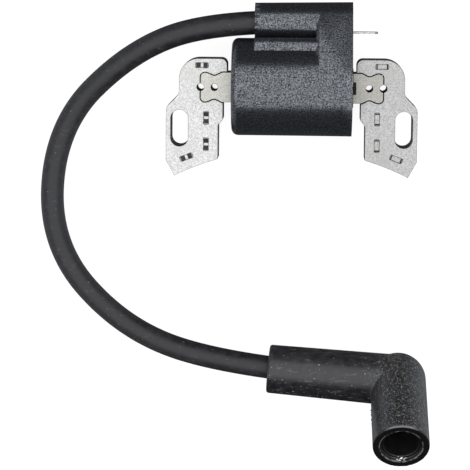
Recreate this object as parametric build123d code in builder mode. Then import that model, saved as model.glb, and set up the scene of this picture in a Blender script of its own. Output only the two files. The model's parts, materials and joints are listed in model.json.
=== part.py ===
"""Ignition coil of a small engine: laminated core with two pole legs, potted coil, lead and plug boot.

Frame, in millimetres: +X runs along the core bar, +Y towards the lead tower, +Z out of the
coil's front face. X = 0 is midway between the two legs. Z = 0 is the table under the coil's back.
"""
from build123d import *
import math
import os

# ---------------------------------------------------------------- driving dimensions
# core and legs
LAMINATION = 0.635              # thickness of one steel lamination
LAMINATION_COUNT = 16           # laminations in each stack
SLOT_PITCH = 66.7               # between the two mounting slots
SLOT_WIDTH = 5.1
SLOT_LENGTH = 10.8
CORE_WIDTH = 9.0
POLE_RADIUS = 78.0              # radius of the flywheel that the pole faces follow
SEAM = 0.1                      # gap all round the interlocked core heads
STAKE_LENGTH = 3.8
STAKE_WIDTH = 1.45
STAKE_DEPTH = 0.45

# leg outline, from the coil's centre (x) and the core's axis (y)
LEG_INNER = 19.2
LEG_TOP = 8.55
LEG_SHOULDER = 33.55
LEG_OUTER = 37.4
LEG_TIP_X = 34.8
LEG_TIP_Y = -26.5
POLE_INNER = 21.8
LEG_JOG = 20.4

# core head: a waist and two round lobes, with two tooling holes
SHOULDER_X = 20.7
NECK_X = 22.95
NECK_HALF = 3.35
LOBE_X = 25.3
LOBE_HALF = 4.38
HEAD_END = 27.15
NECK_HOLE_X = 22.97
NECK_HOLE_R = 1.0
HEAD_HOLE_R = 1.05

# coil housing
CUP_HALF = 17.9                 # half of the cup's length along X
CUP_R_CLOSED = 14.5
CUP_R_OPEN = 14.6               # the cup is drafted towards its open end
CUP_EDGE_R = 2.0
WALL = 1.7
TOWER_Y = 19.45                 # tower axis above the core's axis
TOWER_R_MOUTH = 5.53
TOWER_R_OPEN = 5.95             # the tower is drafted the same way
TOWER_START = -11.2
BLOCK_START = 8.0
BLOCK_RAMP = 0.9                # the block's near side slopes down this far, at 45 degrees
PEDESTAL_TOP = 14.9
PEDESTAL_HALF = 9.2
PEDESTAL_EDGE_R = 2.3
CAVITY_R = 12.6
POTTING_LEVEL = 17.0

# high-tension lead and plug boot
LEAD_R = 3.5
LEAD_BORE_R = 0.8
CONDUCTOR_R = 0.6
LEAD_FIT = 0.05                 # radial clearance of the lead in the tower and in the boot
LEAD_START_X = 4.0
BOOT_ENTRY = Vector(-6.4, -86.15, 7.5)
BOOT_CORNER = Vector(33.3, -89.1, 8.6)
BOOT_LEAD_DEPTH = 20.0          # how far the lead goes into the boot
BOOT_ENTRY_R = 7.4
BOOT_LEG_R = 7.9
MOUTH_R = 8.5
MOUTH_LENGTH = 28.2
MOUTH_BORE_R = 5.2              # grips the plug's insulator
MOUTH_BORE_DEPTH = 11.5
CHAMBER_R = 4.3                 # room for the terminal clip, below the bore
CHAMBER_DEPTH = 24.2
MOUTH_LIP_R = 6.3
MOUTH_LIP_DEPTH = 1.2
CONDUIT_R = 2.4
MOUTH_RISE = 56.5               # degrees that the mouth points above the table at rest
ELBOW_TURN = 85.6               # degrees between the boot's leg and its mouth

# ---------------------------------------------------------------- places worked out from them
STACK = LAMINATION * LAMINATION_COUNT
CORE_Y = -(LEG_TIP_Y + TOWER_Y + TOWER_R_OPEN) / 2       # puts Y = 0 midway between tower and pole tips
CORE_Z = CUP_R_OPEN
BACK_Z = CORE_Z - STACK / 2
FRONT_Z = CORE_Z + STACK / 2
SLOT_X = SLOT_PITCH / 2
SLOT_Y = -12.2
CUP_FLOOR = -CUP_HALF + WALL
LAYERS = {
    "rear": (BACK_Z, LAMINATION),
    "pack": (BACK_Z + LAMINATION, STACK - 2 * LAMINATION),
    "front": (FRONT_Z - LAMINATION, LAMINATION),
}

os.makedirs("parts", exist_ok=True)


def level(z):
    """The XY plane at height z, with its origin on the core's axis."""
    return Plane(origin=(0, CORE_Y, z), z_dir=(0, 0, 1))


def across(x):
    """A plane across the core's axis at x, with local x along +Y and local y along +Z."""
    return Plane(origin=(x, CORE_Y, CORE_Z), x_dir=(0, 1, 0), z_dir=(1, 0, 0))


def save(builder, name):
    """Label a finished sub-part and write its STEP file."""
    builder.part.label = name
    export_step(builder.part, f"parts/{name}.step")


# ---------------------------------------------------------------- laminations
def head_outline(side, gap=0.0):
    """One end of the core bar, from the centre out: shoulder, waist and the two lobes."""
    half_outline = [
        (0, CORE_WIDTH / 2), (SHOULDER_X, CORE_WIDTH / 2), (NECK_X, NECK_HALF), (LOBE_X, LOBE_HALF),
        (HEAD_END, LOBE_HALF),
    ]
    with BuildSketch(mode=Mode.PRIVATE) as outline:
        Polygon(*half_outline, *[(x, -y) for x, y in reversed(half_outline)], align=None)
        for (x, y), radius in zip(half_outline[1:], (1.5, 1.6, 2.0, 1.35)):
            for half in (y, -y):
                fillet(outline.vertices().sort_by_distance((x, half, 0))[0], radius=radius)
        if gap:
            offset(amount=gap)
        if side < 0:
            mirror(about=Plane.YZ, mode=Mode.REPLACE)
    return outline.sketch


def tooling_holes(side):
    """The two small holes on the core's axis, one in the neck and one across the head's seam."""
    with Locations((side * NECK_HOLE_X, 0)):
        Circle(NECK_HOLE_R, mode=Mode.SUBTRACT)
    with Locations((side * HEAD_END, 0)):
        Circle(HEAD_HOLE_R, mode=Mode.SUBTRACT)


def leg_outline(side):
    """One pole leg: top corner over the core bar, waist, wide foot and the curved pole face."""
    pole_centre_y = LEG_TIP_Y - math.sqrt(POLE_RADIUS**2 - LEG_TIP_X**2)
    pole_inner_y = pole_centre_y + math.sqrt(POLE_RADIUS**2 - POLE_INNER**2)
    middle_x = (LEG_TIP_X + POLE_INNER) / 2
    pole_middle_y = pole_centre_y + math.sqrt(POLE_RADIUS**2 - middle_x**2)
    with BuildSketch(mode=Mode.PRIVATE) as leg:
        with BuildLine():
            Polyline(
                (LEG_TIP_X, LEG_TIP_Y), (LEG_OUTER, -21.8), (LEG_OUTER, -6.0), (LEG_SHOULDER, -2.1),
                (LEG_SHOULDER, LEG_TOP), (LEG_INNER, LEG_TOP), (LEG_INNER, -CORE_WIDTH / 2 + 1.0),
                (LEG_JOG, -CORE_WIDTH / 2 + 1.0), (LEG_JOG, -9.6), (POLE_INNER, -11.2),
                (POLE_INNER, pole_inner_y),
            )
            ThreePointArc((POLE_INNER, pole_inner_y), (middle_x, pole_middle_y), (LEG_TIP_X, LEG_TIP_Y))
        make_face()
        for corner, radius in (
            ((LEG_SHOULDER, LEG_TOP), 6.0), ((LEG_INNER, LEG_TOP), 1.9),
            ((LEG_OUTER, -6.0), 2.6), ((LEG_SHOULDER, -2.1), 2.6), ((LEG_JOG, -9.6), 1.0),
            ((POLE_INNER, -11.2), 1.0), ((LEG_OUTER, -21.8), 0.8), ((POLE_INNER, pole_inner_y), 0.4),
        ):
            fillet(leg.vertices().sort_by_distance((*corner, 0))[0], radius=radius)
        if side < 0:
            mirror(about=Plane.YZ, mode=Mode.REPLACE)
    return leg.sketch


def leg_stakes(side):
    """Places of a leg's interlock stakes: x, y and the turn of each one's long side."""
    return [
        (side * 26.7, 6.5, 0), (side * 25.4, -9.1, 90), (side * 25.4, -17.0, 90),
        (side * 31.2, -20.9, -side * 21),
    ]


def stake_marks(plane, stakes):
    """Sketches the stakes' rounded rectangles on the plane."""
    with BuildSketch(plane) as marks:
        for x, y, turn in stakes:
            with Locations(Location((x, y), turn)):
                RectangleRounded(STAKE_LENGTH, STAKE_WIDTH, 0.3)
    return marks.sketch


def stake_cut(layer, stakes):
    """Pits in the front lamination, windows right through the rear one, nothing in the pack between."""
    if layer == "front":
        extrude(stake_marks(level(FRONT_Z), stakes), amount=-STAKE_DEPTH, mode=Mode.SUBTRACT)
    if layer == "rear":
        extrude(stake_marks(level(BACK_Z), stakes), amount=LAMINATION, mode=Mode.SUBTRACT)


def leg_layer(side, layer):
    base, thickness = LAYERS[layer]
    with BuildPart() as leg:
        with BuildSketch(level(base)):
            add(leg_outline(side))
            add(head_outline(side, SEAM), mode=Mode.SUBTRACT)
            tooling_holes(side)
            with Locations((side * SLOT_X, SLOT_Y)):
                SlotOverall(SLOT_LENGTH, SLOT_WIDTH, rotation=90, mode=Mode.SUBTRACT)
        extrude(amount=thickness)
        stake_cut(layer, leg_stakes(side))
    return leg


def core_layer(layer):
    base, thickness = LAYERS[layer]
    with BuildPart() as core:
        with BuildSketch(level(base)):
            for side in (-1, 1):
                add(head_outline(side))
            for side in (-1, 1):
                tooling_holes(side)
        extrude(amount=thickness)
        stake_cut(layer, [(-5.0, 0, 0), (5.0, 0, 0)])
    return core


for layer in LAYERS:
    for side_name, side in (("left", -1), ("right", 1)):
        save(leg_layer(side, layer), f"{side_name}_leg_{layer}")
    save(core_layer(layer), f"core_{layer}")

# ---------------------------------------------------------------- bobbins and windings
TUBE_GAP = 0.1                  # between the core bar and the bobbin's tube
TUBE_WALL = 1.1
PRIMARY_START = -15.8
TUBE_END = 18.2
PRIMARY_FLANGE_R = 9.45
PRIMARY_FLANGE = 1.0
PRIMARY_WINDING_END = 12.0
WEDGE_WIDTH = 3.6
WEDGE_THICK = 0.5
WEDGE_START = 12.2
WEDGE_END = 19.1
SECONDARY_IN_R = 9.6
SECONDARY_TUBE_R = 10.2
SECONDARY_WALL_R = 12.1
SECONDARY_COIL_R = 11.7
SECONDARY_START = -15.0
SECONDARY_WALL = 0.8
SECTION = 3.67
SECTIONS = 6

tube_y = CORE_WIDTH + 2 * TUBE_GAP
tube_z = STACK + 2 * TUBE_GAP


def sleeve(start, length, grow_in, grow_out, corner_in, corner_out):
    """A rounded square sleeve round the bobbin's tube, grown outwards from the tube's opening."""
    with BuildPart() as ring:
        with BuildSketch(across(start)):
            RectangleRounded(tube_y + 2 * grow_out, tube_z + 2 * grow_out, corner_out)
            RectangleRounded(tube_y + 2 * grow_in, tube_z + 2 * grow_in, corner_in, mode=Mode.SUBTRACT)
        extrude(amount=length)
    return ring


with BuildPart() as primary_bobbin:
    with BuildSketch(across(PRIMARY_START)):
        RectangleRounded(tube_y + 2 * TUBE_WALL, tube_z + 2 * TUBE_WALL, 1.0)
    extrude(amount=TUBE_END - PRIMARY_START)
    for flange_x in (PRIMARY_START, PRIMARY_WINDING_END):
        with BuildSketch(across(flange_x)):
            Circle(PRIMARY_FLANGE_R)
        extrude(amount=PRIMARY_FLANGE)
    with BuildSketch(across(PRIMARY_START)):
        Rectangle(tube_y, tube_z)
    extrude(amount=TUBE_END - PRIMARY_START, mode=Mode.SUBTRACT)
    with BuildSketch(across(WEDGE_START)):
        with Locations((0, STACK / 2 + WEDGE_THICK / 2 + TUBE_GAP / 2)):
            Rectangle(WEDGE_WIDTH + 0.2, WEDGE_THICK + TUBE_GAP)
    extrude(amount=TUBE_END - WEDGE_START, mode=Mode.SUBTRACT)
save(primary_bobbin, "primary_bobbin")

WINDING_GAP = 0.02
WINDING_BUILD = 1.0
TAPE = 0.2
winding_start = PRIMARY_START + PRIMARY_FLANGE + WINDING_GAP
winding_length = PRIMARY_WINDING_END - WINDING_GAP - winding_start
winding_in = TUBE_WALL + WINDING_GAP
winding_out = winding_in + WINDING_BUILD
primary_winding = sleeve(winding_start, winding_length, winding_in, winding_out, 1.0, 2.0)
save(primary_winding, "primary_winding")
insulation_tape = sleeve(
    winding_start, winding_length, winding_out + WINDING_GAP, winding_out + WINDING_GAP + TAPE, 2.0, 2.2
)
save(insulation_tape, "insulation_tape")

with BuildPart() as secondary_bobbin:
    with BuildSketch(across(SECONDARY_START)):
        Circle(SECONDARY_TUBE_R)
    extrude(amount=SECTIONS * (SECTION + SECONDARY_WALL) + SECONDARY_WALL)
    for index in range(SECTIONS + 1):
        with BuildSketch(across(SECONDARY_START + index * (SECTION + SECONDARY_WALL))):
            Circle(SECONDARY_WALL_R)
        extrude(amount=SECONDARY_WALL)
    with BuildSketch(across(SECONDARY_START)):
        Circle(SECONDARY_IN_R)
    extrude(amount=SECTIONS * (SECTION + SECONDARY_WALL) + SECONDARY_WALL, mode=Mode.SUBTRACT)
save(secondary_bobbin, "secondary_bobbin")

with BuildPart() as secondary_winding:
    for index in range(SECTIONS):
        section_x = SECONDARY_START + SECONDARY_WALL + index * (SECTION + SECONDARY_WALL)
        with BuildSketch(across(section_x + WINDING_GAP)):
            Circle(SECONDARY_COIL_R)
            Circle(SECONDARY_TUBE_R + WINDING_GAP, mode=Mode.SUBTRACT)
        extrude(amount=SECTION - 2 * WINDING_GAP)
save(secondary_winding, "secondary_winding")

with BuildPart() as core_wedge:
    with BuildSketch(across(WEDGE_START)):
        with Locations((0, STACK / 2 + WEDGE_THICK / 2)):
            Rectangle(WEDGE_WIDTH, WEDGE_THICK)
    extrude(amount=WEDGE_END - WEDGE_START)
    chamfer(core_wedge.edges().group_by(Axis.X)[-1].sort_by(Axis.Z)[-1], length=0.2)
save(core_wedge, "core_wedge")

# ---------------------------------------------------------------- electronics and terminals
BOARD_START = -8.5
BOARD_END = 8.0
BOARD_Y = 12.5
BOARD_THICK = 0.7
BOARD_HALF = 7.2
TERMINAL_Y = 16.35
TERMINAL_THICK = 0.6
TERMINAL_HALF = 2.375
TERMINAL_TIP = 25.4
TERMINAL_ROOT = 12.0
TERMINAL_LEG = (1.3, 2.3)       # the leg's two sides in Z, from the core's axis
STRAP_HALF = 1.0
STRAP_Y = 12.2
STRAP_THICK = 0.3
POST_R = 0.55
POST_TIP_X = -1.0
POST_X = 10.0
POST_FOOT_Y = 11.75


def box_between(low, high):
    """A box from two corners given from the core's axis."""
    size = [b - a for a, b in zip(low, high)]
    middle = [(a + b) / 2 for a, b in zip(low, high)]
    with Locations((middle[0], CORE_Y + middle[1], CORE_Z + middle[2])):
        Box(*size)


with BuildPart() as control_board:
    box_between((BOARD_START, BOARD_Y, -BOARD_HALF), (BOARD_END, BOARD_Y + BOARD_THICK, BOARD_HALF))
save(control_board, "control_board")

COMPONENTS = {
    "darlington_transistor": ((-4.0, 11.3, 5.25), (1.0, BOARD_Y, 7.1)),
    "trigger_resistor": ((-6.0, 11.7, -7.0), (-3.0, BOARD_Y, -5.4)),
    "clamp_diode": ((0.0, 11.5, -7.0), (4.0, BOARD_Y, -5.4)),
}
for component_name, (low, high) in COMPONENTS.items():
    with BuildPart() as component:
        box_between(low, high)
        chamfer(component.edges().group_by(Axis.Y)[0], length=0.2)
    save(component, component_name)

with BuildPart() as ground_strap:
    box_between((-16.2, CORE_WIDTH / 2, -STRAP_HALF), (-15.9, STRAP_Y + STRAP_THICK, STRAP_HALF))
    box_between((-16.2, STRAP_Y, -STRAP_HALF), (BOARD_START - 0.3, STRAP_Y + STRAP_THICK, STRAP_HALF))
    box_between((BOARD_START - 0.3, STRAP_Y, -STRAP_HALF), (BOARD_START, BOARD_Y + BOARD_THICK, STRAP_HALF))
save(ground_strap, "ground_strap")

with BuildPart() as kill_terminal:
    half = TERMINAL_THICK / 2
    box_between(
        (TERMINAL_ROOT, TERMINAL_Y - half, -TERMINAL_HALF), (TERMINAL_TIP, TERMINAL_Y + half, TERMINAL_HALF)
    )
    chamfer(kill_terminal.edges().group_by(Axis.X)[-1].filter_by(Axis.Y), length=0.9)
    box_between((TERMINAL_ROOT, BOARD_Y, TERMINAL_LEG[0]), (TERMINAL_ROOT + 0.6, TERMINAL_Y, TERMINAL_LEG[1]))
    box_between((BOARD_END, BOARD_Y, TERMINAL_LEG[0]), (TERMINAL_ROOT, BOARD_Y + 0.6, TERMINAL_LEG[1]))
    with Locations(Plane(origin=(22.6, CORE_Y + TERMINAL_Y, CORE_Z), z_dir=(0, 1, 0))):
        Hole(radius=0.75)
save(kill_terminal, "kill_terminal")

with BuildPart() as ht_post:
    with BuildLine() as post_path:
        FilletPolyline(
            (POST_TIP_X, CORE_Y + TOWER_Y, CORE_Z), (POST_X, CORE_Y + TOWER_Y, CORE_Z),
            (POST_X, CORE_Y + POST_FOOT_Y, CORE_Z), radius=1.5,
        )
    with BuildSketch(Plane(origin=post_path.line @ 0, z_dir=post_path.line % 0)):
        Circle(POST_R)
    sweep()
    chamfer(ht_post.edges().group_by(Axis.X)[0], length=0.35)
save(ht_post, "ht_post")

# ---------------------------------------------------------------- housing and potting
SEAL_R = 4.3
SEAL_DEPTH = 1.6
SEAL_FIT = 0.02
SLEEVE_IN_R = 12.15
PLUG_START = 13.4
PEDESTAL_CAVITY_HALF = 7.6
PEDESTAL_CAVITY_TOP = 13.3
PEDESTAL_CAVITY_START = -9.4
TOWER_BORE_END = 4.3


def cavity(start, end):
    """The cup's hollow, as a solid, between two places along the core."""
    pedestal_start = max(start, PEDESTAL_CAVITY_START)
    with BuildPart() as hollow:
        with BuildSketch(across(start)):
            Circle(CAVITY_R)
        extrude(amount=end - start)
        with BuildSketch(across(pedestal_start)):
            with Locations((PEDESTAL_CAVITY_TOP / 2, 0)):
                Rectangle(PEDESTAL_CAVITY_TOP, 2 * PEDESTAL_CAVITY_HALF)
        extrude(amount=end - pedestal_start)
    return hollow.part


def block_section(x, tower_radius, sunk=0.0):
    """The block that joins tower and cup, cut at x: its flanks touch both circles, or lie sunk below them."""
    cup_radius = CUP_R_OPEN - sunk
    tower_radius = tower_radius - sunk
    tilt = math.acos((cup_radius - tower_radius) / TOWER_Y)
    low = (cup_radius * math.cos(tilt), cup_radius * math.sin(tilt))
    high = (TOWER_Y + tower_radius * math.cos(tilt), tower_radius * math.sin(tilt))
    with BuildSketch(across(x), mode=Mode.PRIVATE) as section:
        Polygon(low, high, (high[0], -high[1]), (low[0], -low[1]), align=None)
    return section.sketch


cup_hollow = cavity(CUP_FLOOR, CUP_HALF)
potting_plug = cavity(PLUG_START, POTTING_LEVEL)

with BuildPart() as coil_housing:
    with BuildSketch(Plane(origin=(0, CORE_Y, CORE_Z), z_dir=(0, 0, 1))) as cup_profile:
        Polygon(
            (-CUP_HALF, 0), (-CUP_HALF, CUP_R_CLOSED), (CUP_HALF, CUP_R_OPEN), (CUP_HALF, 0), align=None
        )
        fillet(cup_profile.vertices().sort_by_distance((-CUP_HALF, CUP_R_CLOSED, 0))[0], radius=CUP_EDGE_R)
    revolve(axis=Axis((0, CORE_Y, CORE_Z), (1, 0, 0)))
    with BuildSketch(across(TOWER_START)):
        with Locations((PEDESTAL_TOP / 2, 0)):
            RectangleRounded(PEDESTAL_TOP, 2 * PEDESTAL_HALF, PEDESTAL_EDGE_R)
    extrude(amount=CUP_HALF - TOWER_START)
    with BuildSketch(across(TOWER_START)) as tower_mouth:
        with Locations((TOWER_Y, 0)):
            Circle(TOWER_R_MOUTH)
    with BuildSketch(across(CUP_HALF)) as tower_end:
        with Locations((TOWER_Y, 0)):
            Circle(TOWER_R_OPEN)
    loft(sections=[tower_mouth.sketch, tower_end.sketch])
    block_share = (BLOCK_START - TOWER_START) / (CUP_HALF - TOWER_START)
    block_r = TOWER_R_MOUTH + (TOWER_R_OPEN - TOWER_R_MOUTH) * block_share
    block_face = block_section(BLOCK_START, block_r)
    loft(sections=[block_section(BLOCK_START - BLOCK_RAMP, block_r, BLOCK_RAMP), block_face], ruled=True)
    loft(sections=[block_face, block_section(CUP_HALF, TOWER_R_OPEN)], ruled=True)
    add(cup_hollow, mode=Mode.SUBTRACT)
    with BuildSketch(across(-CUP_HALF)):
        Rectangle(tube_y, tube_z)
    extrude(amount=WALL, mode=Mode.SUBTRACT)
    with BuildSketch(across(TOWER_START)):
        with Locations((TOWER_Y, 0)):
            Circle(LEAD_R + LEAD_FIT)
    extrude(amount=TOWER_BORE_END - TOWER_START, mode=Mode.SUBTRACT)
    with BuildSketch(across(TOWER_START)):
        with Locations((TOWER_Y, 0)):
            Circle(SEAL_R)
    extrude(amount=SEAL_DEPTH, mode=Mode.SUBTRACT)
    add(kill_terminal.part, mode=Mode.SUBTRACT)
    add(ht_post.part, mode=Mode.SUBTRACT)
save(coil_housing, "coil_housing")

with BuildPart() as potting_compound:
    add(potting_plug)
    with BuildSketch(across(CUP_FLOOR)):
        Circle(CAVITY_R)
        Circle(SLEEVE_IN_R, mode=Mode.SUBTRACT)
        with Locations((CAVITY_R, 0)):
            Rectangle(6.0, 17.0, mode=Mode.SUBTRACT)
    extrude(amount=PLUG_START - CUP_FLOOR)
    with BuildSketch(across(PLUG_START)):
        RectangleRounded(tube_y + 2 * TUBE_WALL, tube_z + 2 * TUBE_WALL, 1.0)
    extrude(amount=POTTING_LEVEL - PLUG_START, mode=Mode.SUBTRACT)
save(potting_compound, "potting_compound")

with BuildPart() as lead_seal:
    with BuildSketch(across(TOWER_START)):
        with Locations((TOWER_Y, 0)):
            Circle(SEAL_R)
            Circle(LEAD_R + SEAL_FIT, mode=Mode.SUBTRACT)
    extrude(amount=SEAL_DEPTH)
save(lead_seal, "lead_seal")

# ---------------------------------------------------------------- high-tension lead
boot_axis = (BOOT_CORNER - BOOT_ENTRY).normalized()
lead_points = [
    Vector(LEAD_START_X, CORE_Y + TOWER_Y, CORE_Z),     # inside the tower
    Vector(-22.6, CORE_Y + TOWER_Y, CORE_Z),            # straight out of the tower
    Vector(-48.3, 10.95, 10.0),                         # dropping as it turns down beside the left leg
    Vector(-71.7, -12.5, 4.0),
    Vector(-74.0, -49.1, 3.6),                          # on the table from here
    Vector(-51.0, -75.15, 3.6),
    BOOT_ENTRY - boot_axis * 13.0,                      # lifting into line with the boot
    BOOT_ENTRY + boot_axis * BOOT_LEAD_DEPTH,           # inside the boot
]


def corner_radii(points):
    """Each corner's arc, as large as its two runs allow: 0.45 of the shorter over tan(half the turn)."""
    radii = []
    for before, corner, after in zip(points, points[1:], points[2:]):
        run_in = corner - before
        run_out = after - corner
        half_turn = math.radians(run_in.get_angle(run_out) / 2)
        radii.append(0.45 * min(run_in.length, run_out.length) / math.tan(half_turn))
    return radii


def along_lead(start_cut, end_cut):
    """The lead's path, with its first and last runs shortened by the two cuts."""
    points = list(lead_points)
    points[0] = points[0] + (points[1] - points[0]).normalized() * start_cut
    points[-1] = points[-1] + (points[-2] - points[-1]).normalized() * end_cut
    return points


lead_radii = corner_radii(lead_points)
print("lead radii, mm:", [round(radius, 1) for radius in lead_radii])
print("lead runs, mm:", [round((b - a).length, 1) for a, b in zip(lead_points, lead_points[1:])])

with BuildPart() as ht_lead:
    with BuildLine() as lead_path:
        FilletPolyline(*lead_points, radius=lead_radii)
    with BuildSketch(Plane(origin=lead_path.line @ 0, z_dir=lead_path.line % 0)):
        Circle(LEAD_R)
        Circle(LEAD_BORE_R, mode=Mode.SUBTRACT)
    sweep()
save(ht_lead, "ht_lead")
lead_length = sum(edge.length for edge in lead_path.edges())
lead_section = math.pi * (LEAD_R**2 - LEAD_BORE_R**2)
print(f"lead length {lead_length:.1f} mm, volume {ht_lead.part.volume:.0f} mm3")
print(f"lead section x length {lead_section * lead_length:.0f} mm3")

PRONG_DEPTH = 6.0               # how far the plug terminal's prong goes into the lead
with BuildPart() as lead_conductor:
    with BuildLine() as conductor_path:
        FilletPolyline(*along_lead(LEAD_START_X - POST_TIP_X, PRONG_DEPTH), radius=lead_radii)
    with BuildSketch(Plane(origin=conductor_path.line @ 0, z_dir=conductor_path.line % 0)):
        Circle(CONDUCTOR_R)
    sweep()
save(lead_conductor, "lead_conductor")

# ---------------------------------------------------------------- spark plug boot
boot_side = boot_axis.cross(Vector(0, 0, 1)).normalized()       # level, square to the boot's leg
boot_up = boot_side.cross(boot_axis).normalized()
rise = math.radians(MOUTH_RISE)
turn = math.radians(ELBOW_TURN)
mouth_side = boot_side * math.cos(rise) + boot_up * math.sin(rise)
mouth_axis = boot_axis * math.cos(turn) + mouth_side * math.sin(turn)
mouth_face = BOOT_CORNER + mouth_axis * MOUTH_LENGTH
leg_length = (BOOT_CORNER - BOOT_ENTRY).length


def on_leg(distance):
    """A plane across the boot's leg, at a distance from its entry."""
    return Plane(origin=BOOT_ENTRY + boot_axis * distance, x_dir=boot_side, z_dir=boot_axis)


def on_mouth(distance):
    """A plane across the boot's mouth, at a distance from the corner."""
    across = boot_axis.cross(mouth_side)
    return Plane(origin=BOOT_CORNER + mouth_axis * distance, x_dir=across, z_dir=mouth_axis)


with BuildPart() as spark_plug_boot:
    with BuildSketch(on_leg(0)):
        Circle(BOOT_ENTRY_R)
    with BuildSketch(on_leg(leg_length)):
        Circle(BOOT_LEG_R)
    loft()
    chamfer(spark_plug_boot.faces().sort_by_distance(BOOT_ENTRY)[0].edges(), length=0.5)
    with Locations(Location(BOOT_CORNER)):
        Sphere(MOUTH_R)
    with BuildSketch(on_mouth(0)):
        Circle(MOUTH_R)
    extrude(amount=MOUTH_LENGTH)
    with BuildSketch(on_mouth(MOUTH_LENGTH - MOUTH_BORE_DEPTH)):
        Circle(MOUTH_BORE_R)
    extrude(amount=MOUTH_BORE_DEPTH, mode=Mode.SUBTRACT)
    with BuildSketch(on_mouth(MOUTH_LENGTH - CHAMBER_DEPTH)):
        Circle(CHAMBER_R)
    extrude(amount=CHAMBER_DEPTH - MOUTH_BORE_DEPTH, mode=Mode.SUBTRACT)
    with BuildSketch(on_mouth(MOUTH_LENGTH - MOUTH_LIP_DEPTH)):
        Circle(MOUTH_LIP_R)
    extrude(amount=MOUTH_LIP_DEPTH, mode=Mode.SUBTRACT)
    with BuildSketch(on_mouth(0)):
        Circle(CONDUIT_R)
    extrude(amount=MOUTH_LENGTH - CHAMBER_DEPTH, mode=Mode.SUBTRACT)
    with Locations(Location(BOOT_CORNER)):
        Sphere(CONDUIT_R, mode=Mode.SUBTRACT)
    with BuildSketch(on_leg(0)):
        Circle(CONDUIT_R)
    extrude(amount=leg_length, mode=Mode.SUBTRACT)
    with BuildSketch(on_leg(0)):
        Circle(LEAD_R + LEAD_FIT)
    extrude(amount=BOOT_LEAD_DEPTH + 0.3, mode=Mode.SUBTRACT)
save(spark_plug_boot, "spark_plug_boot")

WIRE_R = 0.6
CLIP_BASE = 5.4
CLIP_BASE_THICK = 0.6
CLIP_OUT_R = 3.9
CLIP_IN_R = 3.3
CLIP_LENGTH = 10.0
CLIP_SLOT = 2.0

with BuildPart() as plug_terminal:
    with BuildLine() as prong_path:
        FilletPolyline(
            BOOT_ENTRY + boot_axis * (BOOT_LEAD_DEPTH - PRONG_DEPTH), BOOT_CORNER,
            BOOT_CORNER + mouth_axis * CLIP_BASE, radius=1.5,
        )
    with BuildSketch(Plane(origin=prong_path.line @ 0, z_dir=prong_path.line % 0)):
        Circle(WIRE_R)
    sweep()
    with BuildSketch(on_mouth(CLIP_BASE)):
        Circle(CLIP_OUT_R)
    extrude(amount=CLIP_BASE_THICK + CLIP_LENGTH)
    with BuildSketch(on_mouth(CLIP_BASE + CLIP_BASE_THICK)):
        Circle(CLIP_IN_R)
        with Locations((CLIP_IN_R, 0)):
            Rectangle(2 * CLIP_IN_R, CLIP_SLOT)
    extrude(amount=CLIP_LENGTH, mode=Mode.SUBTRACT)
save(plug_terminal, "plug_terminal")

print("boot axis", tuple(boot_axis), "mouth axis", tuple(mouth_axis))
print("boot corner", tuple(BOOT_CORNER), "mouth face centre", tuple(mouth_face))
print("core axis at y, z", CORE_Y, CORE_Z, "legs' back and front", BACK_Z, FRONT_Z)
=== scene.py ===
"""Looks of a small engine's ignition coil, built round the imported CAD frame. Lengths are in metres."""
import bmesh
import bpy
import json
import math
import random
from mathutils import Matrix, Vector


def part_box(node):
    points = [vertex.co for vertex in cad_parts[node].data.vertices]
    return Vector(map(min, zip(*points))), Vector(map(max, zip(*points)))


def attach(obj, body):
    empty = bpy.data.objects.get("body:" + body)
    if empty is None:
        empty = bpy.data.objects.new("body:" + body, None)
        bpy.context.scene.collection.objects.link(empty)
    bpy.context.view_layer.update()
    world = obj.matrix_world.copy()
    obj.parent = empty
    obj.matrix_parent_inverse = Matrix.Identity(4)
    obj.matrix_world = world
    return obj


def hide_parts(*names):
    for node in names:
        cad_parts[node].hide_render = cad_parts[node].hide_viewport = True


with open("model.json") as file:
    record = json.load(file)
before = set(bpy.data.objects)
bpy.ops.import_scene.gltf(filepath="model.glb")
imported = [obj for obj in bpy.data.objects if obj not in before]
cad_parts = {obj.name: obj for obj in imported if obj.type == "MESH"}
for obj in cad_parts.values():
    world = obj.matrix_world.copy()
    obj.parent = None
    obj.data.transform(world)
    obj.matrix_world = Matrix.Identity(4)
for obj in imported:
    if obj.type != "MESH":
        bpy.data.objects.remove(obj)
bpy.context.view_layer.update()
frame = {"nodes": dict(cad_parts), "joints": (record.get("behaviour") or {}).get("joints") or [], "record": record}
nodes = frame["nodes"]
scene = bpy.context.scene
MM = 0.001


def middle(name):
    """The middle of a CAD node's box."""
    low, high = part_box(name)
    return (Vector(low) + Vector(high)) / 2


FRONT_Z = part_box("core_front")[1][2]            # the laminations' front face
BACK_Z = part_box("core_rear")[0][2]
LAMINATIONS = 16
SHEET = (FRONT_Z - BACK_Z) / LAMINATIONS
TOWER_MOUTH = Vector((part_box("lead_seal")[0][0], middle("lead_seal").y, middle("lead_seal").z))
SWIVEL = frame["joints"][0]
BOOT_ENTRY = Vector(SWIVEL["pos_m"])
BOOT_AXIS = Vector(SWIVEL["axis"])

# ---------------------------------------------------------------- camera
CAMERA_TARGET = Vector((-16.5 * MM, -43.55 * MM, FRONT_Z))
CAMERA_OFFSET = Vector((20.6 * MM, 87.0 * MM, 700.0 * MM))
CAMERA_LENS = 180.8
CAMERA_ROLL = math.radians(0.47)


def make_camera():
    data = bpy.data.cameras.new("camera")
    data.lens = CAMERA_LENS
    data.clip_start = 0.01
    camera = bpy.data.objects.new("camera", data)
    scene.collection.objects.link(camera)
    back = CAMERA_OFFSET.normalized()
    right = Vector((0, 1, 0)).cross(back).normalized()
    turn = Matrix((right, back.cross(right), back)).transposed().to_4x4()
    place = Matrix.Translation(CAMERA_TARGET + CAMERA_OFFSET)
    camera.matrix_world = place @ turn @ Matrix.Rotation(CAMERA_ROLL, 4, "Z")
    scene.camera = camera


make_camera()

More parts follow.
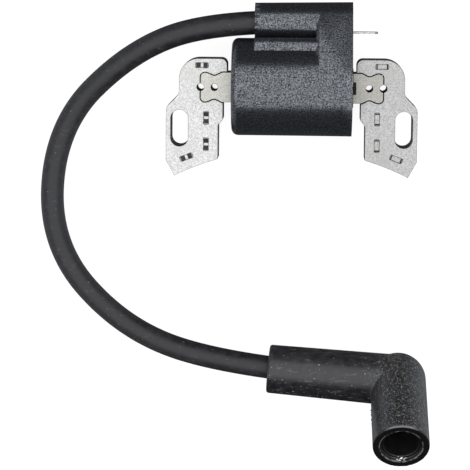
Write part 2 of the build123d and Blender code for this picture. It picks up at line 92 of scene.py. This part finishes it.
# ---------------------------------------------------------------- high-tension lead
LEAD_DIAMETER = 7.0 * MM
LEAD_START = 15.2 * MM                          # from the tower's mouth in to the lead's hidden end
LEAD_STRAIGHT_X = -22.6 * MM                    # the lead comes straight out of the tower to here
LEAD_RISE_IN = 13.0 * MM                        # the last stretch before the boot, in line with it
BOOT_LEAD_DEPTH = 20.0 * MM                     # how far the lead goes into the boot
LEAD_ROUTE = [
    TOWER_MOUTH + Vector((LEAD_START, 0, 0)),
    Vector((LEAD_STRAIGHT_X, TOWER_MOUTH.y, TOWER_MOUTH.z)),
    Vector((-48.3, 10.95, 10.0)) * MM,
    Vector((-71.7, -12.5, 4.0)) * MM,
    Vector((-74.0, -49.1, 3.6)) * MM,
    Vector((-51.0, -75.15, 3.6)) * MM,
    BOOT_ENTRY - BOOT_AXIS * LEAD_RISE_IN,
    BOOT_ENTRY + BOOT_AXIS * BOOT_LEAD_DEPTH,
]


def make_lead():
    curve = bpy.data.curves.new("ht_lead_jacket", "CURVE")
    curve.dimensions = "3D"
    curve.bevel_depth = 1.0                     # times each point's radius
    curve.bevel_resolution = 10
    curve.resolution_u = 48
    curve.use_fill_caps = True
    spline = curve.splines.new("NURBS")
    spline.points.add(len(LEAD_ROUTE) - 1)
    for point, place in zip(spline.points, LEAD_ROUTE):
        point.co = (*place, 1.0)
        point.radius = LEAD_DIAMETER / 2
    spline.use_endpoint_u = True
    spline.order_u = 3
    lead = bpy.data.objects.new("ht_lead_jacket", curve)
    scene.collection.objects.link(lead)
    return lead


lead = make_lead()
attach(lead, "coil")
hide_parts("ht_lead", "lead_conductor")


# ---------------------------------------------------------------- material tools
def new_material(name):
    """A material with its Principled shader and object coordinates."""
    made = bpy.data.materials.new(name)
    made.use_nodes = True
    tree = made.node_tree
    shader = tree.nodes["Principled BSDF"]
    coords = tree.nodes.new("ShaderNodeTexCoord").outputs["Object"]
    return made, tree, shader, coords


def scaled(tree, coords, scale):
    """Coordinates stretched by a different factor along each axis."""
    mapping = tree.nodes.new("ShaderNodeMapping")
    mapping.inputs["Scale"].default_value = scale
    tree.links.new(coords, mapping.inputs["Vector"])
    return mapping.outputs["Vector"]


def noise(tree, coords, scale, detail=4.0, rough=0.55):
    texture = tree.nodes.new("ShaderNodeTexNoise")
    texture.inputs["Scale"].default_value = scale
    texture.inputs["Detail"].default_value = detail
    texture.inputs["Roughness"].default_value = rough
    tree.links.new(coords, texture.inputs["Vector"])
    return texture.outputs["Fac"]


def ramp(tree, value, stops):
    """A colour ramp: stops are (position, grey level or colour)."""
    node = tree.nodes.new("ShaderNodeValToRGB")
    elements = node.color_ramp.elements
    while len(elements) < len(stops):
        elements.new(0.5)
    for element, (position, colour) in zip(elements, stops):
        element.position = position
        rgb = (colour,) * 3 if isinstance(colour, float) else colour
        element.color = (*rgb, 1.0)
    tree.links.new(value, node.inputs["Fac"])
    return node.outputs["Color"]


def mix(tree, factor, first, second, blend="MIX"):
    """Mixes two colours; each may be a socket, a grey level or a colour."""
    node = tree.nodes.new("ShaderNodeMix")
    node.data_type = "RGBA"
    node.blend_type = blend
    if isinstance(factor, float):
        node.inputs["Factor"].default_value = factor
    else:
        tree.links.new(factor, node.inputs["Factor"])
    for socket, value in ((node.inputs["A"], first), (node.inputs["B"], second)):
        if isinstance(value, bpy.types.NodeSocket):
            tree.links.new(value, socket)
        else:
            rgb = (value,) * 3 if isinstance(value, float) else value
            socket.default_value = (*rgb, 1.0)
    return node.outputs["Result"]


def bump(tree, shader, height, strength, depth):
    node = tree.nodes.new("ShaderNodeBump")
    node.inputs["Strength"].default_value = strength
    node.inputs["Distance"].default_value = depth
    tree.links.new(height, node.inputs["Height"])
    tree.links.new(node.outputs["Normal"], shader.inputs["Normal"])


def component(tree, vector, axis):
    split = tree.nodes.new("ShaderNodeSeparateXYZ")
    tree.links.new(vector, split.inputs["Vector"])
    return split.outputs[axis]


def normal_along(tree, axis):
    """How much a surface faces along one of the object's axes, from -1 to 1."""
    return component(tree, tree.nodes.new("ShaderNodeTexCoord").outputs["Normal"], axis)


def math_node(tree, operation, first, second=None):
    """An arithmetic node; each input may be a socket or a number."""
    node = tree.nodes.new("ShaderNodeMath")
    node.operation = operation
    for socket, value in zip(node.inputs, (first, second)):
        if isinstance(value, bpy.types.NodeSocket):
            tree.links.new(value, socket)
        elif value is not None:
            socket.default_value = value
    return node.outputs["Value"]


def rising(tree, value, start, end):
    """Rises from 0 to 1 as a value goes from start to end."""
    span = tree.nodes.new("ShaderNodeMapRange")
    span.inputs["From Min"].default_value = start
    span.inputs["From Max"].default_value = end
    tree.links.new(value, span.inputs["Value"])
    return span.outputs["Result"]


def vector_node(tree, operation, first, second):
    """A vector operation between a socket and a fixed vector: a vector or a length."""
    node = tree.nodes.new("ShaderNodeVectorMath")
    node.operation = operation
    tree.links.new(first, node.inputs[0])
    if second is not None:
        node.inputs[1].default_value = second
    return node.outputs["Value" if operation in ("DISTANCE", "LENGTH", "DOT_PRODUCT") else "Vector"]


# ---------------------------------------------------------------- materials
WALL_SHADE = 0.32                                # painted shade: how dark the stacks' walls are painted beside their front faces
SLOPE_SHADE = 0.02                               # grey level of the painted shade on the sheared slopes in the stakes
RIGHT_SHADE = 0.72                               # painted shade: the steel is painted darker, down to this factor, towards the right


def steel(name, dark, light, stain, roughness=0.42):
    """Bare stamped electrical steel: fine mottling, rolling streaks along X and faint stains.

    Painted shade too: darker towards +X by place, and darker on walls and slopes by normal.
    """
    made, tree, shader, coords = new_material(name)
    mottle = noise(tree, coords, 2200.0, detail=4.0, rough=0.7)
    base = ramp(tree, mottle, [(0.36, dark), (0.62, light)])
    cloud = noise(tree, coords, 130.0, detail=3.0)
    base = mix(tree, ramp(tree, cloud, [(0.45, 0.0), (0.75, 0.6)]), base, stain)
    streak = noise(tree, scaled(tree, coords, (60.0, 2600.0, 2600.0)), 1.0, detail=4.0)
    base = mix(tree, ramp(tree, streak, [(0.62, 0.0), (0.72, 0.35)]), base, dark)
    # painted shade: darker towards +X, as the light falls off
    painted_shade_rightward = rising(tree, component(tree, coords, "X"), -20.0 * MM, 25.0 * MM)
    base = mix(tree, painted_shade_rightward, base, mix(tree, 1.0, base, RIGHT_SHADE, "MULTIPLY"))
    # painted shade: walls and sloped faces, found by their normals, are painted darker than the front faces
    walls = tuple(WALL_SHADE * level for level in dark)
    flatness = math_node(tree, "ABSOLUTE", normal_along(tree, "Z"))
    sheared = mix(tree, rising(tree, flatness, 0.25, 0.5), walls, SLOPE_SHADE)
    base = mix(tree, rising(tree, flatness, 0.945, 0.99), sheared, base)
    tree.links.new(base, shader.inputs["Base Color"])
    tree.links.new(
        ramp(tree, mottle, [(0.2, roughness - 0.08), (0.8, roughness + 0.12)]), shader.inputs["Roughness"]
    )
    shader.inputs["Metallic"].default_value = 0.6
    bump(tree, shader, mix(tree, 0.5, mottle, streak), 0.25, 0.03 * MM)
    return made


def grainy_plastic(name, dark, light, sparkle, grain=2500.0, roughness=0.24, depth=0.05):
    """Mineral-filled moulding: a grained skin with paler grains in it, whose gloss follows the grain."""
    made, tree, shader, coords = new_material(name)
    fine = noise(tree, coords, grain, detail=2.0, rough=0.5)
    broad = noise(tree, coords, 160.0, detail=3.0)
    base = ramp(tree, fine, [(0.38, dark), (0.66, light)])
    base = mix(tree, ramp(tree, broad, [(0.4, 0.0), (0.7, 0.35)]), base, dark)
    tree.links.new(ramp(tree, fine, [(0.38, 0.15), (0.64, 1.0)]), shader.inputs["Specular IOR Level"])
    shader.inputs["Specular Tint"].default_value = (0.86, 0.92, 1.0, 1.0)
    shader.inputs["IOR"].default_value = 1.75
    grains = noise(tree, coords, grain * 1.7, detail=1.0)
    base = mix(tree, ramp(tree, grains, [(0.66, 0.0), (0.74, 0.8)]), base, sparkle)
    tree.links.new(base, shader.inputs["Base Color"])
    tree.links.new(
        ramp(tree, fine, [(0.3, roughness + 0.1), (0.7, roughness - 0.05)]), shader.inputs["Roughness"]
    )
    bump(tree, shader, fine, 0.5, depth * MM)
    return made


MOUTH_CENTRE = Vector((33.66, -104.69, 32.1)) * MM     # these two are the CAD mouth's, rounded
MOUTH_AXIS = Vector((0.0128, -0.5528, 0.8332))
MOUTH_UP = Vector((0.0, 0.8333, 0.5528))         # across the mouth, towards its upper side
GLINT = Vector((33.6, -109.2, 27.7)) * MM        # middle of the patch of painted highlight glints inside the lip
GLINT_SHAPE = Vector((0.4, 1.0, 1.0))            # the patch is long in X
RING_IN = (6.1 * MM, 6.35 * MM)                  # the pale ring fades in and out over these radii
RING_OUT = (6.75 * MM, 6.5 * MM)
# painted highlight: a pale arc on the mouth's outer rim lies between these radii
ARC_RADIUS = (8.05 * MM, 8.3 * MM)
ARC_HEIGHT = (6.6 * MM, 7.9 * MM)                # the painted highlight arc is only on the rim's upper side
RING_LEVEL = 0.14                                # grey levels of the pale ring, the painted highlight arc and the painted highlight glints
ARC_LEVEL = 0.12
GLINT_LEVEL = 0.8
# painted shade: grey level of the bore
BORE_LEVEL = 0.006
LIP_LEVEL = 0.005


def from_mouth(tree, coords):
    """The vector from the middle of the mouth's face."""
    return vector_node(tree, "SUBTRACT", coords, MOUTH_CENTRE)


def off_axis(tree, from_centre):
    """Distance from the mouth's axis."""
    return vector_node(tree, "LENGTH", vector_node(tree, "CROSS_PRODUCT", from_centre, MOUTH_AXIS), None)


def product(tree, first, *others):
    """Multiplies sockets and numbers together."""
    for other in others:
        first = math_node(tree, "MULTIPLY", first, other)
    return first


def mouth_marks(tree, coords, base):
    """Pale marks on the mouth: a pale ring inside, a painted highlight arc on the rim and painted highlight glints
    low in the lip.
    """
    from_centre = from_mouth(tree, coords)
    radius = off_axis(tree, from_centre)
    depth = vector_node(tree, "DOT_PRODUCT", from_centre, MOUTH_AXIS)
    base = mix(tree, rising(tree, depth, -0.9 * MM, -0.3 * MM), base, LIP_LEVEL)
    broken = ramp(tree, noise(tree, coords, 900.0, detail=3.0), [(0.42, 0.0), (0.56, 0.8)])
    ring = product(
        tree, rising(tree, radius, *RING_IN), rising(tree, radius, *RING_OUT),
        rising(tree, depth, -0.7 * MM, -0.3 * MM), broken,
    )
    base = mix(tree, ring, base, RING_LEVEL)
    up_mouth = vector_node(tree, "DOT_PRODUCT", from_centre, MOUTH_UP)
    # painted highlight: the pale arc on the rim's upper side
    arc = product(
        tree, rising(tree, radius, *ARC_RADIUS), rising(tree, depth, -0.8 * MM, -0.4 * MM),
        rising(tree, up_mouth, *ARC_HEIGHT),
    )
    base = mix(tree, arc, base, ARC_LEVEL)
    # painted highlight: glints painted low inside the lip
    flattened = vector_node(tree, "MULTIPLY", coords, GLINT_SHAPE)
    distance = vector_node(tree, "DISTANCE", flattened, GLINT * GLINT_SHAPE)
    near = rising(tree, distance, 0.95 * MM, 0.55 * MM)
    painted_glint_specks = ramp(tree, noise(tree, coords, 1300.0, detail=1.0), [(0.52, 0.0), (0.58, 1.0)])
    return mix(tree, product(tree, near, painted_glint_specks), base, GLINT_LEVEL)


def powdered(tree, coords, base, hazy):
    """Dust on the upper side of the boot's mouth leg, from hazy on in X, outside the mouth."""
    grains = noise(tree, coords, 2000.0, detail=2.0, rough=0.7)
    powder = ramp(tree, grains, [(0.42, 0.008), (0.56, 0.03), (0.66, 0.16)])
    amount = product(
        tree, rising(tree, component(tree, coords, "X"), hazy - 4.0 * MM, hazy + 4.0 * MM),
        rising(tree, off_axis(tree, from_mouth(tree, coords)), 6.9 * MM, 7.3 * MM),
        rising(tree, normal_along(tree, "Y"), -0.1, 0.35),
    )
    return mix(tree, amount, base, powder)


def dusty_rubber(name, base_dark, base_light, dust, specks, roughness, sheen, hazy=None):
    """Black rubber: an uneven skin with pale specks and scuffs.

    With hazy it is the boot's: dust from there on in X, a pale ring, painted highlights and a bore in painted
    shade on its mouth, and less gloss low on its flank.
    """
    made, tree, shader, coords = new_material(name)
    skin = noise(tree, coords, 420.0, detail=5.0, rough=0.6)
    base = ramp(tree, skin, [(0.35, base_dark), (0.7, base_light)])
    scuffs = noise(tree, scaled(tree, coords, (260.0, 900.0, 900.0)), 1.0, detail=5.0, rough=0.65)
    base = mix(tree, ramp(tree, scuffs, [(0.58, 0.0), (0.75, 0.25)]), base, dust)
    if hazy is not None:
        base = powdered(tree, coords, base, hazy)
    dots = noise(tree, coords, 1500.0, detail=1.5)
    base = mix(tree, ramp(tree, dots, [(specks, 0.0), (specks + 0.03, 1.0)]), base, dust)
    if hazy is None:
        shader.inputs["Specular IOR Level"].default_value = sheen
    else:
        # painted shade: the bore is painted darker than the rubber, without its dust
        painted_bore_shade = rising(tree, off_axis(tree, from_mouth(tree, coords)), 6.6 * MM, 6.3 * MM)
        base = mouth_marks(tree, coords, mix(tree, painted_bore_shade, base, BORE_LEVEL))
        gloss = product(tree, rising(tree, normal_along(tree, "Y"), -0.42, -0.05), sheen)
        tree.links.new(gloss, shader.inputs["Specular IOR Level"])
    tree.links.new(base, shader.inputs["Base Color"])
    tree.links.new(
        ramp(tree, skin, [(0.3, roughness - 0.08), (0.75, roughness + 0.14)]), shader.inputs["Roughness"]
    )
    bump(tree, shader, mix(tree, 0.35, skin, dots), 0.2, 0.05 * MM)
    return made


def smooth_plastic(name, colour, roughness, scale=700.0, sheen=0.5):
    """Plain moulding or resin with a faint flow pattern."""
    made, tree, shader, coords = new_material(name)
    flow = noise(tree, coords, scale, detail=4.0)
    darker = tuple(0.7 * level for level in colour)
    tree.links.new(ramp(tree, flow, [(0.35, darker), (0.65, colour)]), shader.inputs["Base Color"])
    tree.links.new(
        ramp(tree, flow, [(0.3, roughness), (0.8, roughness + 0.15)]), shader.inputs["Roughness"]
    )
    shader.inputs["Specular IOR Level"].default_value = sheen
    bump(tree, shader, flow, 0.15, 0.05 * MM)
    return made


def plated(name, colour, roughness=0.3):
    """Tin or nickel plate with fine drawing lines."""
    made, tree, shader, coords = new_material(name)
    lines = noise(tree, scaled(tree, coords, (120.0, 3000.0, 3000.0)), 1.0, detail=3.0)
    spots = noise(tree, coords, 1800.0, detail=3.0)
    darker = tuple(0.62 * level for level in colour)
    tree.links.new(ramp(tree, spots, [(0.4, darker), (0.6, colour)]), shader.inputs["Base Color"])
    tree.links.new(ramp(tree, lines, [(0.3, roughness), (0.7, roughness + 0.2)]), shader.inputs["Roughness"])
    shader.inputs["Metallic"].default_value = 1.0
    bump(tree, shader, lines, 0.2, 0.02 * MM)
    return made


WAVE_SCALE = 0.314                               # Blender's wave texture repeats every 0.314 at scale 1


def wound_wire(name, colour, pitch):
    """Enamelled wire wound round the X axis: each turn shows as a rounded rib."""
    made, tree, shader, coords = new_material(name)
    turns = tree.nodes.new("ShaderNodeTexWave")
    turns.bands_direction = "X"
    turns.inputs["Scale"].default_value = WAVE_SCALE / pitch
    turns.inputs["Distortion"].default_value = 0.4
    tree.links.new(coords, turns.inputs["Vector"])
    darker = tuple(0.35 * level for level in colour)
    # painted shade: the grooves between turns are painted darker
    ribs = ramp(tree, turns.outputs["Fac"], [(0.1, darker), (0.6, colour)])
    tree.links.new(ribs, shader.inputs["Base Color"])
    shader.inputs["Metallic"].default_value = 0.9
    shader.inputs["Roughness"].default_value = 0.28
    bump(tree, shader, turns.outputs["Fac"], 0.6, 0.08 * MM)
    return made


MATERIALS = {
    "leg_steel": steel("leg_steel", (0.29, 0.29, 0.285), (0.56, 0.56, 0.555), (0.38, 0.38, 0.365)),
    "core_steel": steel("core_steel", (0.28, 0.275, 0.255), (0.48, 0.475, 0.44), (0.34, 0.33, 0.30)),
    "housing_plastic": grainy_plastic(
        "housing_plastic", (0.005, 0.0055, 0.0065), (0.012, 0.013, 0.016), (0.06, 0.065, 0.075)
    ),
    "potting_epoxy": smooth_plastic("potting_epoxy", (0.022, 0.022, 0.024), 0.12),
    "bobbin_plastic": smooth_plastic("bobbin_plastic", (0.012, 0.012, 0.012), 0.4, sheen=0.08),
    "copper_wire": wound_wire("copper_wire", (0.60, 0.22, 0.08), 0.12 * MM),
    "tape": smooth_plastic("tape", (0.75, 0.52, 0.12), 0.2),
    "board": smooth_plastic("board", (0.03, 0.17, 0.07), 0.35, scale=1600.0),
    "component": smooth_plastic("component", (0.02, 0.02, 0.02), 0.35, scale=2500.0),
    "tinned_metal": plated("tinned_metal", (0.44, 0.435, 0.42)),
    "sealant": smooth_plastic("sealant", (0.015, 0.015, 0.015), 0.25),
    "lead_rubber": dusty_rubber(
        "lead_rubber", (0.006, 0.006, 0.007), (0.014, 0.014, 0.016), (0.10, 0.10, 0.105), specks=0.72,
        roughness=0.45, sheen=0.35,
    ),
    "boot_rubber": dusty_rubber(
        "boot_rubber", (0.009, 0.009, 0.010), (0.020, 0.020, 0.022), (0.26, 0.26, 0.265), specks=0.71,
        roughness=0.34, sheen=0.42, hazy=26.0 * MM,
    ),
    "spring_steel": plated("spring_steel", (0.72, 0.70, 0.66)),
}

for entry in frame["record"]["subparts"]:
    cad_node = nodes[entry["node"]]
    cad_node.data.materials.clear()
    cad_node.data.materials.append(MATERIALS[entry["material_slot"]])

lead.data.materials.append(MATERIALS["lead_rubber"])


# ---------------------------------------------------------------- mesh tools
SAME_PLACE = 1e-6                               # points nearer than this are one point


def piece(mesh, name, body, slot, replaced):
    """Makes a finished mesh into a piece: on its body, with its material, in its CAD nodes' place."""
    made = bpy.data.objects.new(name, mesh)
    scene.collection.objects.link(made)
    mesh.materials.clear()
    mesh.materials.append(MATERIALS[slot])
    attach(made, body)
    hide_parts(*replaced)
    return made


def applied(made):
    """The object's mesh with its modifiers applied; the object itself is removed."""
    depsgraph = bpy.context.evaluated_depsgraph_get()
    mesh = bpy.data.meshes.new_from_object(made.evaluated_get(depsgraph))
    bpy.data.objects.remove(made)
    return mesh


def bevel_edges(target, width, segments, sharper_than):
    """Rounds an object's edges that turn by more than an angle in degrees."""
    bevel = target.modifiers.new("bevel", "BEVEL")
    bevel.width = width
    bevel.segments = segments
    bevel.limit_method = "ANGLE"
    bevel.angle_limit = math.radians(sharper_than)
    return bevel


def edge_rounded(name, node, radius):
    """A CAD node's shape with its sharp edges rounded off a little."""
    source = bpy.data.objects.new(name + "_source", nodes[node].data.copy())
    scene.collection.objects.link(source)
    weld = source.modifiers.new("weld", "WELD")
    weld.merge_threshold = SAME_PLACE
    bevel_edges(source, radius, 2, 32).harden_normals = True
    mesh = applied(source)
    mesh.name = name
    return mesh


def moulded(name, node, voxel, passes):
    """A CAD node's shape with its edges softened as a mould leaves them."""
    source = bpy.data.objects.new(name + "_source", nodes[node].data.copy())
    scene.collection.objects.link(source)
    remesh = source.modifiers.new("remesh", "REMESH")
    remesh.mode = "VOXEL"
    remesh.voxel_size = voxel
    smooth = source.modifiers.new("smooth", "SMOOTH")
    smooth.factor = 0.5
    smooth.iterations = passes
    mesh = applied(source)
    mesh.polygons.foreach_set("use_smooth", [True] * len(mesh.polygons))
    mesh.name = name
    return mesh


def flat_loops(node, top):
    """The outlines, outer and inner, of a plate's top or bottom face: lists of (x, y)."""
    plate = bmesh.new()
    plate.from_mesh(nodes[node].data)
    bmesh.ops.remove_doubles(plate, verts=plate.verts, dist=SAME_PLACE)
    plate.normal_update()
    heights = [vert.co.z for vert in plate.verts]
    level = max(heights) if top else min(heights)
    faces = {
        face for face in plate.faces
        if abs(face.normal.z) > 0.99 and all(abs(vert.co.z - level) < SAME_PLACE for vert in face.verts)
    }
    rim = {}
    for face in faces:
        for loop in face.loops:
            if sum(linked in faces for linked in loop.edge.link_faces) == 1:
                rim[loop.vert.index] = (loop.vert.co.xy.copy(), loop.link_loop_next.vert.index)
    outlines = []
    while rim:
        start = next(iter(rim))
        outline = []
        index = start
        while index in rim:
            place, following = rim.pop(index)
            outline.append(place)
            index = following
        outlines.append(outline)
    plate.free()
    return outlines


def plate_mesh(outlines, low, high, edge, inset=0.0, shift=(0.0, 0.0)):
    """A flat plate between two heights, with rounded rims and its outlines drawn in by inset."""
    curve = bpy.data.curves.new("plate", "CURVE")
    curve.dimensions = "2D"
    curve.fill_mode = "BOTH"
    curve.extrude = (high - low) / 2 - edge
    curve.bevel_depth = edge
    curve.bevel_resolution = 1
    curve.offset = -edge - inset
    for outline in outlines:
        spline = curve.splines.new("POLY")
        spline.points.add(len(outline) - 1)
        for point, place in zip(spline.points, outline):
            point.co = (place.x + shift[0], place.y + shift[1], 0.0, 1.0)
        spline.use_cyclic_u = True
    made = bpy.data.objects.new("plate", curve)
    scene.collection.objects.link(made)
    mesh = applied(made)
    mesh.transform(Matrix.Translation((0, 0, (low + high) / 2)))
    return mesh


def joined(meshes, name):
    """One mesh from several."""
    whole = bmesh.new()
    for mesh in meshes:
        whole.from_mesh(mesh)
        bpy.data.meshes.remove(mesh)
    result = bpy.data.meshes.new(name)
    whole.to_mesh(result)
    whole.free()
    return result


# ---------------------------------------------------------------- laminations
STAKE_LENGTH = 3.8 * MM
STAKE_WIDTH = 1.45 * MM
STAKE_DEPTH = 0.55 * MM                         # 0.1 mm deeper than the CAD's stakes
SHORT_FLOOR = 0.42 * MM                         # half the length of a stake's flat bottom
LONG_FLOOR = 1.22 * MM
EDGE_ROLL = 0.09 * MM                           # radius of a sheet's stamped edge
SEAM_WEAR = 0.05 * MM                           # the front sheets' outlines are drawn in by this
SHEET_GAP = 0.02 * MM
SHEET_SHIFT = 0.02                              # most that a sheet lies off its stack, in mm


def outline_size(outline):
    xs = [place.x for place in outline]
    ys = [place.y for place in outline]
    return max(xs) - min(xs), max(ys) - min(ys)


def is_stake(outline):
    """True for the small rounded rectangles of the interlock stakes."""
    longest = max((a - b).length for a in outline for b in outline)
    width, height = outline_size(outline)
    return STAKE_LENGTH * 0.9 < longest < STAKE_LENGTH * 1.1 and min(width, height) < STAKE_LENGTH * 0.8


def stake_mesh(outline, floor_half):
    """The sheared tongue of one stake: sloped down from both ends to a flat bottom."""
    centre = sum(outline, Vector((0, 0))) / len(outline)
    far = max(outline, key=lambda place: (place - centre).length)
    ends = [place for place in outline if (place - far).length < STAKE_WIDTH * 1.05]
    along = (sum(ends, Vector((0, 0))) / len(ends) - centre).normalized()
    across = Vector((-along.y, along.x))
    half_width = STAKE_WIDTH / 2 - 0.05 * MM
    half_length = STAKE_LENGTH / 2 - 0.02 * MM
    profile = [
        (-half_length, 0.0), (-half_length * 0.92, 0.06), (-floor_half * 1.1, 0.93), (-floor_half * 0.9, 1.0),
        (floor_half * 0.9, 1.0), (floor_half * 1.1, 0.93), (half_length * 0.92, 0.06), (half_length, 0.0),
    ]
    tongue = bmesh.new()
    rows = []
    for distance, depth in profile:
        row = []
        for side, sink in ((-1, 0.0), (1, 0.0), (1, 0.9), (-1, 0.9)):
            place = centre + along * distance + across * (side * half_width)
            row.append(tongue.verts.new((*place, FRONT_Z - depth * STAKE_DEPTH - sink * SHEET * 0.5)))
        rows.append(row)
    for row, following in zip(rows, rows[1:]):
        for index in range(4):
            after = (index + 1) % 4
            tongue.faces.new((row[index], row[after], following[after], following[index]))
    tongue.faces.new(rows[0])
    tongue.faces.new(rows[-1])
    bmesh.ops.recalc_face_normals(tongue, faces=tongue.faces)
    mesh = bpy.data.meshes.new("stake")
    tongue.to_mesh(mesh)
    tongue.free()
    return mesh


def make_stack(prefix, slot, floor_half):
    """The three pieces of one stack: front lamination with its stakes, pack and rear lamination."""
    rng = random.Random(prefix)
    front_loops = flat_loops(prefix + "_front", top=True)
    pack_loops = flat_loops(prefix + "_pack", top=True)
    rear_loops = flat_loops(prefix + "_rear", top=False)
    front = [plate_mesh(front_loops, FRONT_Z - SHEET + SHEET_GAP, FRONT_Z, EDGE_ROLL, SEAM_WEAR)]
    front += [stake_mesh(outline, floor_half) for outline in front_loops if is_stake(outline)]
    piece(joined(front, prefix + "_front_sheet"), prefix + "_front_sheet", "coil", slot, [prefix + "_front"])
    pack = []
    for index in range(1, LAMINATIONS - 1):
        low = BACK_Z + index * SHEET
        shift = [rng.uniform(-SHEET_SHIFT, SHEET_SHIFT) * MM for axis in "xy"]
        sheet = plate_mesh(pack_loops, low + SHEET_GAP, low + SHEET, EDGE_ROLL * 0.8, 0.02 * MM, shift)
        pack.append(sheet)
    piece(joined(pack, prefix + "_sheets"), prefix + "_sheets", "coil", slot, [prefix + "_pack"])
    rear = [plate_mesh(rear_loops, BACK_Z, BACK_Z + SHEET, EDGE_ROLL)]
    piece(joined(rear, prefix + "_rear_sheet"), prefix + "_rear_sheet", "coil", slot, [prefix + "_rear"])


make_stack("left_leg", "leg_steel", SHORT_FLOOR)
make_stack("right_leg", "leg_steel", LONG_FLOOR)
make_stack("core", "core_steel", SHORT_FLOOR)

# ---------------------------------------------------------------- housing, boot and blades
BEAD_COUNT = 11
BEAD_SIDE_X = -8.42                             # the beads sit on the mouth leg's left flank, in mm


def flash_beads():
    """Small beads of flash left down one side of the boot's mouth leg."""
    rng = random.Random("flash")
    beads = bmesh.new()
    for bead in range(BEAD_COUNT):
        down = rng.uniform(9.0, 17.5) * MM
        aside = Vector((BEAD_SIDE_X, rng.uniform(-1.0, 1.4), rng.uniform(-0.6, 0.6))) * MM
        place = Matrix.Translation(MOUTH_CENTRE - MOUTH_AXIS * down + aside)
        size = rng.uniform(0.16, 0.34) * MM
        bmesh.ops.create_icosphere(beads, subdivisions=2, radius=size, matrix=place)
    mesh = bpy.data.meshes.new("flash_beads")
    beads.to_mesh(mesh)
    beads.free()
    return mesh


housing_mesh = edge_rounded("housing_shell", "coil_housing", 0.4 * MM)
piece(housing_mesh, "housing_shell", "coil", "housing_plastic", ["coil_housing"])

boot_mesh = joined([moulded("boot_shape", "spark_plug_boot", 0.25 * MM, 3), flash_beads()], "boot_moulding")
boot_mesh.polygons.foreach_set("use_smooth", [True] * len(boot_mesh.polygons))
boot = piece(boot_mesh, "boot_moulding", "boot", "boot_rubber", ["spark_plug_boot"])

for blade in ("kill_terminal", "plug_terminal"):
    bevel_edges(nodes[blade], 0.2 * MM, 3, 50)


# ---------------------------------------------------------------- floor and light
FLOOR_HALF = 2.4
BACKDROP_HEIGHT = 6.0
FLOOR_GLOW = 0.9
SOFTBOX_Y = 0.07
SOFTBOX_HEIGHT = 0.95
SOFTBOX_SIZE = 2.1
SOFTBOX_POWER = 28.0
SKY_COLOUR = (0.9, 0.93, 1.0, 1.0)
DARK_SKY = (0.2, 0.07)                          # share of X in the direction, and the sky's strength there
BRIGHT_SKY = (0.9, 0.9)


def make_floor():
    grid = bmesh.new()
    bmesh.ops.create_grid(grid, x_segments=4, y_segments=4, size=FLOOR_HALF)
    mesh = bpy.data.meshes.new("floor")
    grid.to_mesh(mesh)
    grid.free()
    floor = bpy.data.objects.new("floor", mesh)
    scene.collection.objects.link(floor)
    made, tree, shader, coords = new_material("floor_white")
    paper = noise(tree, coords, 300.0, detail=2.0)
    tree.links.new(ramp(tree, paper, [(0.3, 0.15), (0.7, 0.17)]), shader.inputs["Base Color"])
    shader.inputs["Roughness"].default_value = 0.8
    shader.inputs["Specular IOR Level"].default_value = 0.1
    shader.inputs["Emission Color"].default_value = (1.0, 1.0, 1.0, 1.0)
    shader.inputs["Emission Strength"].default_value = FLOOR_GLOW
    mesh.materials.append(made)
    floor.visible_glossy = False                # keeps black mouldings' rims as dark as a grey room would


def make_backdrop():
    """A pale wall right round the floor: seen from low angles, and not in the object's reflections."""
    ring = bmesh.new()
    bmesh.ops.create_cone(
        ring, segments=64, radius1=FLOOR_HALF, radius2=FLOOR_HALF, depth=BACKDROP_HEIGHT, cap_ends=False
    )
    mesh = bpy.data.meshes.new("backdrop")
    ring.to_mesh(mesh)
    ring.free()
    backdrop = bpy.data.objects.new("backdrop", mesh)
    scene.collection.objects.link(backdrop)
    made, tree, shader, coords = new_material("backdrop_white")
    paint = noise(tree, coords, 3.0, detail=2.0)
    tree.links.new(ramp(tree, paint, [(0.3, 0.96), (0.7, 1.0)]), shader.inputs["Emission Color"])
    shader.inputs["Base Color"].default_value = (0.1, 0.1, 0.1, 1.0)
    shader.inputs["Emission Strength"].default_value = 1.0
    mesh.materials.append(made)
    backdrop.visible_glossy = False
    backdrop.visible_diffuse = False
    backdrop.visible_shadow = False


def make_softbox():
    """One very large square light overhead, facing straight down."""
    data = bpy.data.lights.new("softbox", "AREA")
    data.shape = "SQUARE"
    data.size = SOFTBOX_SIZE
    data.energy = SOFTBOX_POWER
    light = bpy.data.objects.new("softbox", data)
    scene.collection.objects.link(light)
    light.location = (0.0, SOFTBOX_Y, SOFTBOX_HEIGHT)
    light.rotation_euler = Vector((0, 0, -1)).to_track_quat("-Z", "Y").to_euler()


def make_sky():
    """A dark room that is bright only far to the left and right."""
    world = bpy.data.worlds.new("studio")
    world.use_nodes = True
    sky = world.node_tree
    background = sky.nodes["Background"]
    direction = sky.nodes.new("ShaderNodeTexCoord").outputs["Generated"]
    sideways = math_node(sky, "ABSOLUTE", component(sky, direction, "X"))
    background.inputs["Color"].default_value = SKY_COLOUR
    sky.links.new(ramp(sky, sideways, [DARK_SKY, BRIGHT_SKY]), background.inputs["Strength"])
    scene.world = world


make_floor()
make_backdrop()
make_softbox()
make_sky()
scene.view_settings.view_transform = "Standard"
scene.view_settings.look = "None"

bpy.context.view_layer.update()
